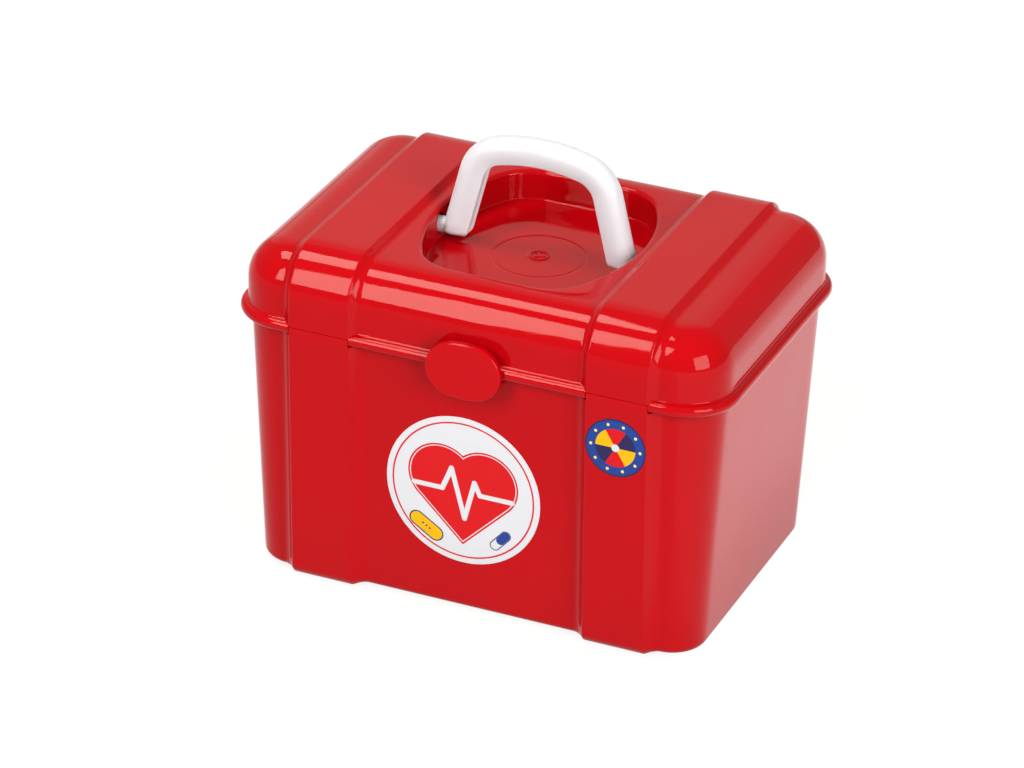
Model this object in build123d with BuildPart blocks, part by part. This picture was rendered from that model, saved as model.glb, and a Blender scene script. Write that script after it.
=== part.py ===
# Toy doctor's case: a drafted tub and a hinged lid, both injection moulded, with two raised
# bands running round them, a carry handle that folds into a recess, a flip clasp and two labels.
# Millimetres. Origin: middle of the footprint, on the surface the case stands on.
# +X to the right, -Y towards the front with the clasp, +Z up.
from build123d import *
import os
from math import cos, hypot, radians, sin, sqrt

# Whole case
case_width = 260.0          # end to end over the rim bead
case_depth = 177.5          # front to back over the rim bead
seam_height = 141.2         # top of the tub's rim
seam_gap = 0.25             # fine line between tub and lid
lid_height = 35.0           # seam to the flat top between the bands

# Tub
tub_inset = 5.5             # tub wall behind the rim bead, at the seam
tub_draft_ends = 6.4        # lean of each end wall, seam to foot
tub_draft_sides = 4.6       # lean of front and back wall, seam to foot
tub_wall = 2.2
tub_floor = 2.2
foot_lift = 1.6             # floor's underside above the bands it stands on
tub_foot_corner = 18.4      # plan radius at the foot
tub_bottom_round = 4.0

# Lid shell and its rolled rim bead
bead_proud = 3.7            # bead beyond the lid's wall
bead_height = 6.3
bead_drop = 1.0             # bead's middle below the seam
bead_corner = 28.2          # plan radius
bead_flat = 0.1             # left between the bead's two rounds
skirt_gap = 0.4             # bead's skirt to the tub's wall
lid_wall = 2.6
lid_edge_round = 20.8

# Raised bands, mirrored left and right
band_start = 62.3           # inner edge of the flat face, from the middle
band_width = 31.5
band_proud = 3.4            # above the lid's skin
band_slope = 0.85           # flank run for each mm of height
band_foot_round = 7.0       # bottom corners in side view
band_root = 1.0             # flank runs on into the shell
bead_end_gap = 0.3          # bead's ends to the tub's bands

# Handle, upright at rest
handle_foot_width = 102.2   # outside, at the axle
handle_lean = 14.0          # degrees that each leg leans in
handle_crown = 96.0         # radius of the arch's top
handle_corner = 25.0        # outer radius at the shoulders
handle_thickness = 13.7     # outside to inside
handle_depth = 12.2         # front to back
handle_wall = 2.2
handle_edge_round = 4.5
axle_diameter = 8.4
axle_tip = 1.6              # axle beyond the recess wall
axle_gap = 0.3              # slot round the axle
axle_slot_rise = 1.8        # slot runs on above the axle

# Recess in the lid that takes the folded handle
recess_floor_gap = 0.4      # under the folded handle
recess_cover = 3.1          # folded handle below the lid's top
recess_side_gap = 2.1       # beside the handle's feet
recess_end_gap = 3.2        # beyond the folded arch
recess_end_margin = 29.35   # from the recess's end out to the rim bead
recess_side_bow = 19.7      # bow of each side, from end to middle
recess_corner = 24.0
recess_lip = 2.2            # round from the lid's top into the recess
recess_floor_round = 1.2
recess_wall = 2.2
gate_ring_diameter = 10.0   # mark left by the moulding gate
gate_ring_width = 1.0
gate_ring_height = 0.3

# Clasp
clasp_width = 39.4
clasp_height = 29.8
clasp_end_radius = 14.4     # outline's left and right arcs
clasp_drop = 1.5            # plate's middle below the seam
clasp_thickness = 3.6
clasp_gap = 0.35            # plate to the rim bead
clasp_edge_round = 1.6
clasp_axis_below_top = 4.4
clasp_axis_behind = 1.5     # axis behind the plate's back
clasp_pin_diameter = 2.4
clasp_knuckle_wall = 0.9
clasp_knuckle_width = 14.0
clasp_ear_width = 3.0
clasp_ear_root = 3.5        # half height of the ear's root on the lid
clasp_side_play = 0.3
pin_ear_gap = 0.03          # pin in the fixed ears
pin_knuckle_gap = 0.08      # pin in the turning knuckle
catch_width = 16.0
catch_height = 2.4
catch_proud = 1.25          # beyond the tub's rim
catch_gap = 0.4             # between catch and hook, each way
hook_thickness = 1.4
hook_above_edge = 2.2       # hook's underside above the plate's lower edge

# Hinges at the back
hinge_spacing = 72.0        # between the two hinges' middles
hinge_axis_out = 0.75       # behind the rim bead
hinge_axis_drop = 4.2       # below the seam
hinge_pin_diameter = 3.0
hinge_barrel_wall = 1.4
hinge_arm_width = 16.0
hinge_arm_rise = 10.0       # arm's foot on the lid, above the seam
hinge_arm_shoulder = 6.0    # arm's upright face ends this far above the axis
hinge_ear_width = 3.2
hinge_ear_wall = 1.7
hinge_ear_drop = 12.0       # ear's root below the axis
hinge_side_play = 0.4
hinge_stop_drop = 3.7       # stop bar's top below the axis
hinge_stop_size = 1.7

# Labels
label_thickness = 0.2
main_label_diameter = 81.4
main_label_height = 68.7    # middle above the ground
main_label_shift = -3.3     # middle, sideways
band_label_diameter = 31.2
band_label_height = 114.7

# Worked out from the sizes above
lid_top = seam_height + lid_height
lid_base = seam_height + seam_gap
lid_half_x = case_width / 2 - bead_proud
lid_half_y = case_depth / 2 - bead_proud
lid_corner = bead_corner - bead_proud
tub_half_x = case_width / 2 - tub_inset
tub_half_y = case_depth / 2 - tub_inset
tub_corner = bead_corner - tub_inset
band_face_y = lid_half_y + band_proud
band_top = lid_top + band_proud
band_middle = band_start + band_width / 2
tub_band_proud = band_face_y - tub_half_y
bead_bottom = seam_height - bead_drop - bead_height / 2
wall_lean = tub_draft_sides / seam_height

recess_half_x = handle_foot_width / 2 + recess_side_gap
recess_half_y = case_depth / 2 - recess_end_margin
handle_reach = recess_half_y - recess_end_gap
recess_floor = lid_top - recess_cover - handle_depth - recess_floor_gap
axle_height = recess_floor + recess_floor_gap + handle_depth / 2
axle_end = recess_half_x + recess_wall + axle_tip

clasp_middle = seam_height - clasp_drop
clasp_back = -case_depth / 2 - clasp_gap
clasp_axis_y = clasp_back + clasp_axis_behind
clasp_axis_z = clasp_middle + clasp_height / 2 - clasp_axis_below_top
clasp_bore = clasp_pin_diameter / 2 + pin_knuckle_gap
clasp_ear_bore = clasp_pin_diameter / 2 + pin_ear_gap
clasp_knuckle_radius = clasp_bore + clasp_knuckle_wall
clasp_ear_start = clasp_knuckle_width / 2 + clasp_side_play
clasp_ear_end = clasp_ear_start + clasp_ear_width
hook_bottom = clasp_middle - clasp_height / 2 + hook_above_edge
catch_bottom = hook_bottom + hook_thickness + catch_gap
catch_face_y = -tub_half_y - catch_proud

hinge_axis_y = case_depth / 2 + hinge_axis_out
hinge_axis_z = seam_height - hinge_axis_drop
hinge_bore = hinge_pin_diameter / 2 + pin_knuckle_gap
hinge_ear_bore = hinge_pin_diameter / 2 + pin_ear_gap
hinge_barrel_radius = hinge_bore + hinge_barrel_wall
hinge_ear_radius = hinge_ear_bore + hinge_ear_wall
hinge_ear_start = hinge_arm_width / 2 + hinge_side_play
hinge_ear_end = hinge_ear_start + hinge_ear_width


def tub_wall_y(height):
    """Outer face of the tub's front and back wall at a height."""
    return tub_half_y - tub_draft_sides + wall_lean * height


def tub_section(height, inset):
    """Level cut through the drafted tub, 'inset' inside its outer skin."""
    rise = height / seam_height
    half_x = tub_half_x - tub_draft_ends * (1 - rise) - inset
    half_y = tub_wall_y(height) - inset
    corner = tub_foot_corner + (tub_corner - tub_foot_corner) * rise - inset
    with BuildSketch(Plane.XY.offset(height)) as section:
        RectangleRounded(2 * half_x, 2 * half_y, corner)
    return section.sketch


def tub_block(bottom, inset, bottom_round):
    """Drafted block with rounded bottom edges, solid up to the seam."""
    with BuildPart() as block:
        loft([tub_section(bottom, inset), tub_section(seam_height, inset)], ruled=True)
        fillet(block.faces().sort_by(Axis.Z)[0].edges(), bottom_round)
    return block.part


def lid_block(inset):
    """Lid's rounded block, 'inset' inside its outer skin."""
    with BuildPart() as block:
        with BuildSketch(Plane.XY.offset(lid_base)):
            RectangleRounded(2 * (lid_half_x - inset), 2 * (lid_half_y - inset), lid_corner - inset)
        extrude(amount=lid_top - inset - lid_base)
        fillet(block.faces().sort_by(Axis.Z)[-1].edges(), lid_edge_round - inset)
    return block.part


def tub_band_section(x, inset):
    """Side view of the tub's bands at x, 'inset' inside their outer face."""
    face_y = band_face_y - inset
    foot_y = face_y - wall_lean * (seam_height - inset)
    with BuildSketch(Plane.YZ.offset(x)) as section:
        with BuildLine():
            Polyline(
                (-face_y, seam_height),
                (-foot_y, inset),
                (foot_y, inset),
                (face_y, seam_height),
                close=True,
            )
        make_face()
        fillet(section.vertices().group_by(Axis.Y)[0], band_foot_round - inset / 2)
    return section.sketch


def lid_band_section(x, inset):
    """Side view of the lid's bands at x, 'inset' inside their outer face."""
    face_y = band_face_y - inset
    top = band_top - inset
    with BuildSketch(Plane.YZ.offset(x)) as section:
        with BuildLine():
            Polyline((-face_y, lid_base), (-face_y, top), (face_y, top), (face_y, lid_base), close=True)
        make_face()
        fillet(section.vertices().group_by(Axis.Y)[-1], lid_edge_round + band_proud - inset)
    return section.sketch


def band_sections(side_view, side, wall, proud):
    """Side views that loft to a band on one side: flank, flat, flat, flank.

    With a wall given they are those of the groove inside the band."""
    shift = wall * (hypot(1, band_slope) - band_slope)
    depth = proud + band_root
    inner = band_start + shift
    outer = band_start + band_width - shift
    return [
        side_view(side * (inner - depth * band_slope), wall + depth),
        side_view(side * inner, wall),
        side_view(side * outer, wall),
        side_view(side * (outer + depth * band_slope), wall + depth),
    ]


def recess_outline(height, grow):
    """Plan of the handle's recess: bowed sides, flat ends, round corners."""
    half_x = recess_half_x + grow
    half_y = recess_half_y + grow
    end_x = half_x - recess_side_bow
    with BuildSketch(Plane.XY.offset(height)) as plan:
        with BuildLine():
            ThreePointArc((end_x, -half_y), (half_x, 0), (end_x, half_y))
            Line((end_x, half_y), (-end_x, half_y))
            ThreePointArc((-end_x, half_y), (-half_x, 0), (-end_x, -half_y))
            Line((-end_x, -half_y), (end_x, -half_y))
        make_face()
        fillet(plan.vertices(), recess_corner + grow)
    return plan.sketch


def hinge_ear_outline(x):
    """Ear on the tub's back: round the pin, down to its stop, and back to the wall."""
    root_z = hinge_axis_z - hinge_ear_drop
    stop = hinge_stop_size / 2
    with BuildSketch(Plane.YZ.offset(x)) as outline:
        with Locations((hinge_axis_y, hinge_axis_z)):
            Circle(hinge_ear_radius)
        with Locations((hinge_axis_y + hinge_ear_radius - stop, hinge_axis_z - hinge_stop_drop - stop)):
            Rectangle(hinge_stop_size, hinge_stop_size)
        with Locations((tub_wall_y(root_z) - tub_wall / 2, root_z)):
            Rectangle(tub_wall / 2, hinge_ear_drop + hinge_ear_radius, align=(Align.CENTER, Align.MIN))
        make_hull()
    return outline.sketch


def hinge_arm_outline(x):
    """Arm of the lid: from its wall, over the rim, down to the barrel round the pin."""
    inner_y = hinge_axis_y - hinge_barrel_radius
    outer_y = hinge_axis_y + hinge_barrel_radius
    root_y = lid_half_y - lid_wall / 2
    root_z = lid_base + hinge_side_play
    with BuildSketch(Plane.YZ.offset(x)) as outline:
        with BuildLine():
            Polyline(
                (inner_y, hinge_axis_z),
                (inner_y, root_z),
                (root_y, root_z),
                (root_y, seam_height + hinge_arm_rise),
                (outer_y, hinge_axis_z + hinge_arm_shoulder),
                (outer_y, hinge_axis_z),
                close=True,
            )
        make_face()
        with Locations((hinge_axis_y, hinge_axis_z)):
            Circle(hinge_barrel_radius)
    return outline.sketch


def clasp_ear_outline(x):
    """Ear on the lid's front, round the clasp's pin."""
    with BuildSketch(Plane.YZ.offset(x)) as outline:
        with Locations((clasp_axis_y, clasp_axis_z)):
            Circle(clasp_ear_bore + clasp_knuckle_wall)
        with Locations((-lid_half_y + lid_wall / 2, clasp_axis_z)):
            Rectangle(lid_wall / 2, 2 * clasp_ear_root)
        make_hull()
    return outline.sketch


def channel_outline(inset):
    """Handle's cross-section from its outer face inwards, 'inset' inside its skin."""
    half_depth = handle_depth / 2 - inset
    with BuildSketch() as outline:
        with BuildLine():
            Polyline(
                (-half_depth, handle_thickness),
                (-half_depth, inset),
                (half_depth, inset),
                (half_depth, handle_thickness),
                close=True,
            )
        make_face()
        fillet(outline.vertices().group_by(Axis.Y)[0], handle_edge_round - inset)
    return outline.sketch


# Tub: bands first, notched round the lid's bead, then the box, then everything hollowed
with BuildPart() as case_tub:
    for side in (-1, 1):
        loft(band_sections(tub_band_section, side, 0, tub_band_proud), ruled=True)
        flank = (tub_band_proud + band_root) * band_slope
        for flank_x in (band_start - flank / 2, band_start + band_width + flank / 2):
            with Locations((side * flank_x, 0, seam_height)):
                Box(
                    flank,
                    case_depth,
                    seam_height - bead_bottom + skirt_gap,
                    align=(Align.CENTER, Align.CENTER, Align.MAX),
                    mode=Mode.SUBTRACT,
                )
    add(tub_block(foot_lift, 0, tub_bottom_round))
    add(tub_block(foot_lift + tub_floor, tub_wall, tub_bottom_round - tub_wall / 2), mode=Mode.SUBTRACT)
    for side in (-1, 1):
        loft(band_sections(tub_band_section, side, tub_wall, tub_band_proud), ruled=True, mode=Mode.SUBTRACT)

    # Catch for the clasp, moulded on the front wall
    with BuildSketch(Plane.YZ) as catch:
        with BuildLine():
            Polyline(
                (-tub_wall_y(catch_bottom) + tub_wall / 2, catch_bottom),
                (catch_face_y, catch_bottom + catch_height / 4),
                (catch_face_y, catch_bottom + catch_height / 2),
                (-tub_wall_y(catch_bottom) + tub_wall / 2, catch_bottom + catch_height),
                close=True,
            )
        make_face()
    extrude(amount=catch_width / 2, both=True)

    # Hinge ears on the back wall, each pair with a stop bar for the open lid
    for side in (-1, 1):
        middle = side * hinge_spacing / 2
        extrude(hinge_ear_outline(middle - hinge_ear_end), amount=hinge_ear_width)
        extrude(hinge_ear_outline(middle + hinge_ear_start), amount=hinge_ear_width)
        with Locations(
            (
                middle,
                hinge_axis_y + hinge_ear_radius - hinge_stop_size / 2,
                hinge_axis_z - hinge_stop_drop - hinge_stop_size / 2,
            )
        ):
            Box(2 * hinge_ear_start, hinge_stop_size, hinge_stop_size)
        with Locations((middle, hinge_axis_y, hinge_axis_z)):
            Cylinder(hinge_ear_bore, 2 * hinge_ear_end, rotation=(0, 90, 0), mode=Mode.SUBTRACT)
case_tub.part.label = "case_tub"

# Handle's recess as a solid, to be cut out of the lid
with BuildPart() as recess_space:
    extrude(recess_outline(recess_floor, 0), amount=lid_top - recess_floor)
    fillet(recess_space.faces().sort_by(Axis.Z)[0].edges(), recess_floor_round)

# Lid: rolled bead, shell and bands, hollowed, then the recess with its floor and slots
with BuildPart() as case_lid:
    with BuildSketch(Plane.XY.offset(bead_bottom)):
        RectangleRounded(case_width, case_depth, bead_corner)
    extrude(amount=bead_height)
    bead_faces = case_lid.faces().filter_by(Axis.Z)
    fillet(bead_faces.edges(), (bead_height - bead_flat) / 2)
    for side in (-1, 1):
        with Locations((side * band_middle, 0, bead_bottom)):
            Box(
                band_width + 2 * bead_end_gap,
                case_depth,
                bead_height,
                align=(Align.CENTER, Align.CENTER, Align.MIN),
                mode=Mode.SUBTRACT,
            )
        with Locations((side * hinge_spacing / 2, 0, bead_bottom)):
            Box(
                2 * (hinge_ear_end + hinge_side_play),
                case_depth / 2,
                bead_height,
                align=(Align.CENTER, Align.MIN, Align.MIN),
                mode=Mode.SUBTRACT,
            )
    add(lid_block(0))
    for side in (-1, 1):
        loft(band_sections(lid_band_section, side, 0, band_proud), ruled=True)
    add(lid_block(lid_wall), mode=Mode.SUBTRACT)
    for side in (-1, 1):
        loft(band_sections(lid_band_section, side, lid_wall, band_proud), ruled=True, mode=Mode.SUBTRACT)
    with BuildSketch(Plane.XY.offset(bead_bottom)):
        RectangleRounded(
            2 * (tub_half_x + skirt_gap), 2 * (tub_half_y + skirt_gap), tub_corner + skirt_gap
        )
    extrude(amount=lid_base - bead_bottom, mode=Mode.SUBTRACT)

    extrude(recess_outline(recess_floor - recess_wall, recess_wall), amount=lid_top - recess_floor)
    add(recess_space.part, mode=Mode.SUBTRACT)
    level_faces = case_lid.faces().filter_by(Axis.Z)
    top_face = level_faces.filter_by(lambda face: len(face.inner_wires()) > 0).sort_by(Axis.Z)[-1]
    fillet(top_face.inner_wires()[0].edges(), recess_lip)

    # Mark that the moulding gate leaves on the recess's floor
    with BuildSketch(Plane.XY.offset(recess_floor)):
        Circle(gate_ring_diameter / 2)
        Circle(gate_ring_diameter / 2 - gate_ring_width, mode=Mode.SUBTRACT)
    extrude(amount=gate_ring_height)

    # Slots for the handle's axles
    for side in (-1, 1):
        with BuildSketch(Plane.YZ.offset(side * (recess_half_x + recess_wall / 2))):
            with Locations((0, axle_height + axle_slot_rise / 2)):
                SlotCenterToCenter(axle_slot_rise, axle_diameter + 2 * axle_gap, rotation=90)
        extrude(amount=recess_wall, both=True, mode=Mode.SUBTRACT)

    # Hinge arms
    for side in (-1, 1):
        middle = side * hinge_spacing / 2
        extrude(hinge_arm_outline(middle - hinge_arm_width / 2), amount=hinge_arm_width)
        with Locations((middle, hinge_axis_y, hinge_axis_z)):
            Cylinder(hinge_bore, hinge_arm_width, rotation=(0, 90, 0), mode=Mode.SUBTRACT)

    # Ears for the clasp's pin
    extrude(clasp_ear_outline(clasp_ear_start), amount=clasp_ear_width)
    extrude(clasp_ear_outline(-clasp_ear_end), amount=clasp_ear_width)
    with Locations((0, clasp_axis_y, clasp_axis_z)):
        Cylinder(clasp_ear_bore, 2 * clasp_ear_end, rotation=(0, 90, 0), mode=Mode.SUBTRACT)
case_lid.part.label = "case_lid"

# Carry handle: a channel, open towards the hand, swept along its outer line
crown_middle_z = axle_height + handle_reach - handle_crown
lean_x = sin(radians(handle_lean))
lean_z = cos(radians(handle_lean))
half_foot = handle_foot_width / 2
# Length of each leg from the axle to where its line meets the crown's circle
rise_z = axle_height - crown_middle_z
leg_half = half_foot * lean_x - rise_z * lean_z
leg_length = leg_half + sqrt(leg_half**2 + handle_crown**2 - half_foot**2 - rise_z**2)
leg_below = handle_depth
with BuildPart() as carry_handle:
    with BuildLine(Plane.XZ) as outer_line:
        foot = (half_foot + leg_below * lean_x, axle_height - leg_below * lean_z)
        shoulder = (half_foot - leg_length * lean_x, axle_height + leg_length * lean_z)
        Line(foot, shoulder)
        ThreePointArc(shoulder, (0, axle_height + handle_reach), (-shoulder[0], shoulder[1]))
        Line((-shoulder[0], shoulder[1]), (-foot[0], foot[1]))
        fillet(outer_line.vertices().group_by(Axis.Y)[-1], handle_corner)
    foot_plane = Plane(origin=(foot[0], 0, foot[1]), x_dir=(0, 1, 0), z_dir=(-lean_x, 0, lean_z))
    with BuildSketch(foot_plane) as channel:
        add(channel_outline(0))
        add(channel_outline(handle_wall), mode=Mode.SUBTRACT)
    sweep(channel.sketch, path=outer_line.wires()[0])
    # Round feet, the depth of the handle across
    with BuildSketch(Plane.YZ) as side_view:
        with Locations((0, axle_height)):
            Circle(handle_depth / 2)
            Rectangle(handle_depth, 2 * handle_reach, align=(Align.CENTER, Align.MIN))
    extrude(side_view.sketch, amount=handle_foot_width, both=True, mode=Mode.INTERSECT)
    for side in (-1, 1):
        axle_start = half_foot - handle_thickness + handle_wall
        with Locations((side * (axle_start + axle_end) / 2, 0, axle_height)):
            Cylinder(axle_diameter / 2, axle_end - axle_start, rotation=(0, 90, 0))
carry_handle.part.label = "carry_handle"

# Clasp: oval plate that flips up on a pin through its knuckle, with a hook rib behind
clasp_crown = ((clasp_width / 2 - clasp_end_radius) ** 2 + (clasp_height / 2) ** 2 - clasp_end_radius**2) / (
    clasp_height - 2 * clasp_end_radius
)
crown_drop = clasp_crown - clasp_height / 2
end_middle = clasp_width / 2 - clasp_end_radius
join_scale = clasp_crown / (clasp_crown - clasp_end_radius)
join_x = end_middle * join_scale
join_z = crown_drop * join_scale - crown_drop
with BuildPart() as clasp:
    clasp_plane = Plane(origin=(0, clasp_back, clasp_middle), x_dir=(1, 0, 0), z_dir=(0, -1, 0))
    with BuildSketch(clasp_plane):
        with BuildLine():
            ThreePointArc((-join_x, join_z), (0, clasp_height / 2), (join_x, join_z))
            ThreePointArc((join_x, join_z), (clasp_width / 2, 0), (join_x, -join_z))
            ThreePointArc((join_x, -join_z), (0, -clasp_height / 2), (-join_x, -join_z))
            ThreePointArc((-join_x, -join_z), (-clasp_width / 2, 0), (-join_x, join_z))
        make_face()
    extrude(amount=clasp_thickness)
    fillet(clasp.faces().sort_by(Axis.Y)[0].edges(), clasp_edge_round)
    for side in (-1, 1):
        pocket = clasp_ear_bore + clasp_knuckle_wall + clasp_side_play
        with Locations((side * (clasp_ear_start + clasp_ear_width / 2), clasp_axis_y, clasp_axis_z)):
            Box(clasp_ear_width + 2 * clasp_side_play, 2 * pocket, 2 * pocket, mode=Mode.SUBTRACT)
    with Locations((0, clasp_axis_y, clasp_axis_z)):
        Cylinder(clasp_knuckle_radius, clasp_knuckle_width, rotation=(0, 90, 0))
        Cylinder(clasp_bore, clasp_knuckle_width, rotation=(0, 90, 0), mode=Mode.SUBTRACT)
    hook_tip = catch_face_y - catch_gap
    with Locations((0, clasp_back - clasp_thickness / 2, hook_bottom)):
        Box(
            catch_width,
            hook_tip - clasp_back + clasp_thickness / 2,
            hook_thickness,
            align=(Align.CENTER, Align.MIN, Align.MIN),
        )
clasp.part.label = "clasp"

# Steel pins
with BuildPart() as clasp_pin:
    with Locations((0, clasp_axis_y, clasp_axis_z)):
        Cylinder(clasp_pin_diameter / 2, 2 * clasp_ear_end, rotation=(0, 90, 0))
clasp_pin.part.label = "clasp_pin"

hinge_pins = []
for side, pin_name in ((-1, "hinge_pin_left"), (1, "hinge_pin_right")):
    with BuildPart() as hinge_pin:
        with Locations((side * hinge_spacing / 2, hinge_axis_y, hinge_axis_z)):
            Cylinder(hinge_pin_diameter / 2, 2 * hinge_ear_end, rotation=(0, 90, 0))
    hinge_pin.part.label = pin_name
    hinge_pins.append(hinge_pin)

# Round labels, flat on the drafted front
front_normal = (0, -seam_height, -tub_draft_sides)
with BuildPart() as main_label:
    spot = (main_label_shift, -tub_wall_y(main_label_height), main_label_height)
    with BuildSketch(Plane(origin=spot, x_dir=(1, 0, 0), z_dir=front_normal)):
        Circle(main_label_diameter / 2)
    extrude(amount=label_thickness)
main_label.part.label = "main_label"

with BuildPart() as band_label:
    spot = (band_middle, -tub_wall_y(band_label_height) - tub_band_proud, band_label_height)
    with BuildSketch(Plane(origin=spot, x_dir=(1, 0, 0), z_dir=front_normal)):
        Circle(band_label_diameter / 2)
    extrude(amount=label_thickness)
band_label.part.label = "band_label"

os.makedirs("parts", exist_ok=True)
for piece in (
    case_tub,
    case_lid,
    carry_handle,
    clasp,
    clasp_pin,
    *hinge_pins,
    main_label,
    band_label,
):
    export_step(piece.part, f"parts/{piece.part.label}.step")
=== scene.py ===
import math
import bmesh
import bpy
import numpy as np
from mathutils import Matrix, Vector
from mathutils.geometry import convex_hull_2d


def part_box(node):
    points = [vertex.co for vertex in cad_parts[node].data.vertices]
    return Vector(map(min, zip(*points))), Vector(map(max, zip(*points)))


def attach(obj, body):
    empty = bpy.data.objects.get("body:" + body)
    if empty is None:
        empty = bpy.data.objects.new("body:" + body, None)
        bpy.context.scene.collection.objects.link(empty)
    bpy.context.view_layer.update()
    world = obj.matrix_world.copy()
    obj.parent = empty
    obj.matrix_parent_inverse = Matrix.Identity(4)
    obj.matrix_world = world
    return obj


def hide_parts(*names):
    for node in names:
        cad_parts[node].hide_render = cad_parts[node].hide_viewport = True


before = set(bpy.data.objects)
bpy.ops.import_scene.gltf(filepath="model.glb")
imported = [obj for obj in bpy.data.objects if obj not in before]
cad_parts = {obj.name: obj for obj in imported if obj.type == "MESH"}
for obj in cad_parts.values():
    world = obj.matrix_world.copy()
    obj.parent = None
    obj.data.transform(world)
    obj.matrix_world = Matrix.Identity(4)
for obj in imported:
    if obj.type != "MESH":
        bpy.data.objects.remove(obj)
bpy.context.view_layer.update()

# The room: a white sweep lit by an overhead box, a tall box at the front left and a broad window
# at the right, with a white wall behind on the left. The camera stands about 2.4 metres off with
# a long lens, a little to the right of the front and looking down on the case.
MM = 0.001
scene = bpy.context.scene
scene.view_settings.view_transform = "Standard"
view_azimuth = math.radians(22.894)
view_elevation = math.radians(27.787)
view_roll = math.radians(1.309)
view_distance = 2.4314
view_target = Vector((0, 0, 0.090))
view_offset = Vector((0.01197, 0.00038))

back = Vector(
    (
        math.sin(view_azimuth) * math.cos(view_elevation),
        -math.cos(view_azimuth) * math.cos(view_elevation),
        math.sin(view_elevation),
    )
)
right = (-back).cross(Vector((0, 0, 1))).normalized()
up = right.cross(-back)
turned_right = right * math.cos(view_roll) + up * math.sin(view_roll)
turned_up = up * math.cos(view_roll) - right * math.sin(view_roll)
lens = bpy.data.cameras.new("camera")
lens.sensor_width = 36.0
lens.lens = 171.95
lens.clip_end = 30.0
camera = bpy.data.objects.new("camera", lens)
turn = Matrix((turned_right, turned_up, back)).transposed().to_4x4()
place = view_target + back * view_distance - turned_right * view_offset.x - turned_up * view_offset.y
camera.matrix_world = Matrix.Translation(place) @ turn
scene.collection.objects.link(camera)
scene.camera = camera


def shader(name):
    """A new material's node tree and its Principled node."""
    material = bpy.data.materials.new(name)
    material.use_nodes = True
    return material, material.node_tree, material.node_tree.nodes["Principled BSDF"]


def link_new(tree, kind, **inputs):
    """A new node with its inputs set or linked; _ stands for a space in their names."""
    node = tree.nodes.new(kind)
    for name, value in inputs.items():
        socket = node.inputs[name.replace("_", " ")]
        if isinstance(value, bpy.types.NodeSocket):
            tree.links.new(value, socket)
        else:
            socket.default_value = value
    return node


def sees_backdrop(tree):
    """1 for the rays that show the backdrop: camera, glossy and transmission."""
    path = tree.nodes.new("ShaderNodeLightPath")
    total = path.outputs["Is Camera Ray"]
    for ray in ("Is Glossy Ray", "Is Transmission Ray"):
        add = tree.nodes.new("ShaderNodeMath")
        add.operation = "MAXIMUM"
        tree.links.new(total, add.inputs[0])
        tree.links.new(path.outputs[ray], add.inputs[1])
        total = add.outputs[0]
    return total


floor_half = 6.0
floor_mesh = bpy.data.meshes.new("floor")
floor_corners = [(-floor_half, -floor_half, 0), (floor_half, -floor_half, 0)]
floor_corners += [(floor_half, floor_half, 0), (-floor_half, floor_half, 0)]
floor_mesh.from_pydata(floor_corners, [], [(0, 1, 2, 3)])
floor = bpy.data.objects.new("floor", floor_mesh)
scene.collection.objects.link(floor)
floor_paint, tree, surface = shader("white sweep")
seen = sees_backdrop(tree)
bounce = link_new(tree, "ShaderNodeMapRange", Value=seen)
bounce.inputs["To Min"].default_value = 0.5
bounce.inputs["To Max"].default_value = 0.12
tree.links.new(bounce.outputs["Result"], surface.inputs["Base Color"])
surface.inputs["Roughness"].default_value = 0.9
surface.inputs["Specular IOR Level"].default_value = 0.0
surface.inputs["Emission Color"].default_value = (1, 1, 1, 1)
# The sweep is painted brightest at the right, beside the window: a painted pool of light that no lamp gives
# and that lights nothing. Only the case's right side shows it, as a painted reflection
floor_place = tree.nodes.new("ShaderNodeTexCoord")
floor_split = link_new(tree, "ShaderNodeSeparateXYZ", Vector=floor_place.outputs["Object"])
painted_window_glow = link_new(tree, "ShaderNodeMapRange", Value=floor_split.outputs["X"])
painted_window_glow.interpolation_type = "SMOOTHSTEP"
painted_window_glow.inputs["From Min"].default_value = 0.10
painted_window_glow.inputs["From Max"].default_value = 0.17
painted_window_glow.inputs["To Min"].default_value = 0.85
painted_window_glow.inputs["To Max"].default_value = 1.55
# painted glow: the backdrop's lift is raised towards the right, for camera and glossy rays only
lift = tree.nodes.new("ShaderNodeMath")
lift.operation = "MULTIPLY"
tree.links.new(seen, lift.inputs[0])
tree.links.new(painted_window_glow.outputs["Result"], lift.inputs[1])
tree.links.new(lift.outputs[0], surface.inputs["Emission Strength"])
floor_mesh.materials.append(floor_paint)

world = bpy.data.worlds.new("white room")
scene.world = world
world.use_nodes = True
sky = world.node_tree.nodes["Background"]
sky.inputs["Color"].default_value = (1, 0.98, 0.90, 1)
direction = world.node_tree.nodes.new("ShaderNodeTexCoord")
facing = world.node_tree.nodes.new("ShaderNodeVectorMath")
facing.operation = "DOT_PRODUCT"
facing.inputs[1].default_value = (-0.344, 0.815, 0.466)
world.node_tree.links.new(direction.outputs["Generated"], facing.inputs[0])
white_wall = link_new(world.node_tree, "ShaderNodeMapRange", Value=facing.outputs["Value"])
white_wall.interpolation_type = "SMOOTHSTEP"
white_wall.inputs["From Min"].default_value = 0.885
white_wall.inputs["From Max"].default_value = 0.905
white_wall.inputs["To Min"].default_value = 0.5
white_wall.inputs["To Max"].default_value = 1.0
world.node_tree.links.new(white_wall.outputs["Result"], sky.inputs["Strength"])


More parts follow.
